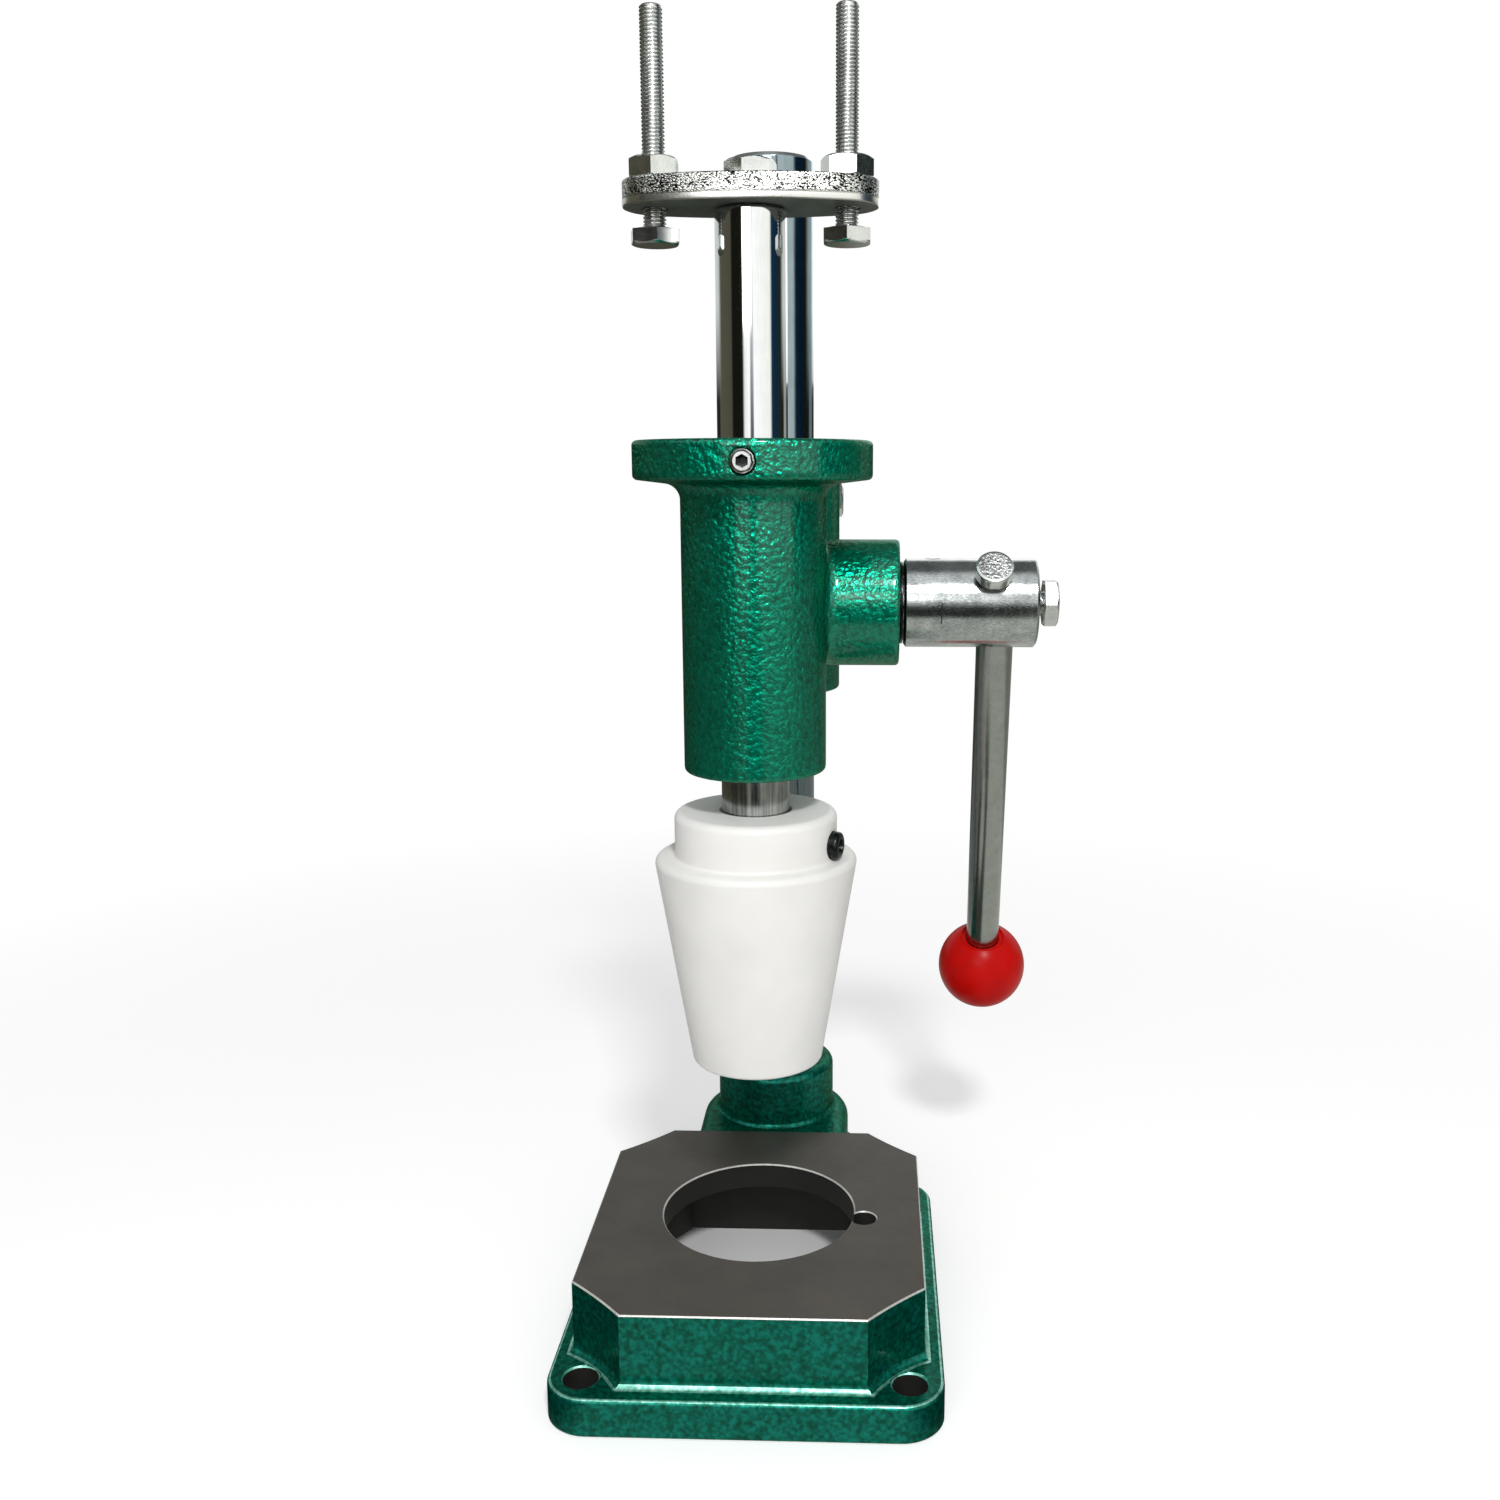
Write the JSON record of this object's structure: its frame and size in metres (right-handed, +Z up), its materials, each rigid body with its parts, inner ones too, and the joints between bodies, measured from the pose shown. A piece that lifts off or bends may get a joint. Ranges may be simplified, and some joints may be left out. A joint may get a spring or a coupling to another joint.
{
  "type": "tartlet shell press",
  "caption": "Hand press for tartlet shells: cast base with a die hole, column, clamped head, and a ram with a tapered plastic punch driven by a lever, pinion and rack.",
  "frame": {"origin": "foot of the column's axis, on the base's underside at bench level", "axes": "+Z up along the column, +Y to the back with the ram in front of the column at -Y, +X to the lever's side"},
  "size_m": [0.1814, 0.2329, 0.4793],
  "materials": {
    "green_enamel": "hammertone enamel, glossy",
    "chromed_steel": "polished",
    "turned_steel": "turned, bright",
    "zinc_steel": "zinc plated",
    "dark_steel": "blackened",
    "bronze": "bearing bronze",
    "white_plastic": "satin",
    "red_plastic": "glossy"
  },
  "bodies": {
    "base": {"base_casting": "green_enamel", "column_set_screw": "dark_steel"},
    "column": {"column": "chromed_steel"},
    "head": {"head_casting": "green_enamel", "pinion_bush": "bronze", "bush_set_screw": "dark_steel", "friction_pad": "bronze", "friction_screw": "zinc_steel", "clamp_bolt_upper": "zinc_steel", "clamp_bolt_lower": "zinc_steel", "clamp_washer_upper": "zinc_steel", "clamp_washer_lower": "zinc_steel", "clamp_nut_upper": "zinc_steel", "clamp_nut_lower": "zinc_steel"},
    "lever": {"pinion_shaft": "turned_steel", "thrust_washer": "dark_steel", "lever_hub": "turned_steel", "hub_pin": "dark_steel", "lever_rod": "turned_steel", "ball_knob": "red_plastic", "hub_end_bolt": "zinc_steel", "lever_lock_bolt": "zinc_steel"},
    "ram": {"ram": "chromed_steel", "stop_plate": "zinc_steel", "plate_washer": "zinc_steel", "plate_centre_bolt": "zinc_steel", "stop_nut_left": "zinc_steel", "stop_nut_right": "zinc_steel", "punch": "white_plastic", "punch_screw_left": "dark_steel", "punch_screw_right": "dark_steel"},
    "stop_left": {"stop_bolt_left": "zinc_steel"},
    "stop_right": {"stop_bolt_right": "zinc_steel"}
  },
  "joints": [
    {"name": "column_turn", "type": "hinge", "parent": "base", "child": "column", "pos_m": [0, 0, 0], "axis": [0, 0, 1], "continuous": true},
    {"name": "head_height", "type": "slide", "parent": "column", "child": "head", "axis": [0, 0, 1], "range_m": [-0.04, 0.11]},
    {"name": "ram_slide", "type": "slide", "parent": "head", "child": "ram", "axis": [0, 0, -1], "range_m": [-0.0145, 0.0655]},
    {"name": "lever_turn", "type": "hinge", "parent": "head", "child": "lever", "pos_m": [0, -0.0799, 0.277], "axis": [1, 0, 0], "range_deg": [-64, 288.8]},
    {"name": "stop_left_height", "type": "slide", "parent": "ram", "child": "stop_left", "axis": [0, 0, 1], "range_m": [-0.049, 0.006]},
    {"name": "stop_right_height", "type": "slide", "parent": "ram", "child": "stop_right", "axis": [0, 0, 1], "range_m": [-0.049, 0.006]}
  ],
  "couplings": [
    {"joint": "lever_turn", "follows": "ram_slide", "rad_per_m": 76.923}
  ]
}
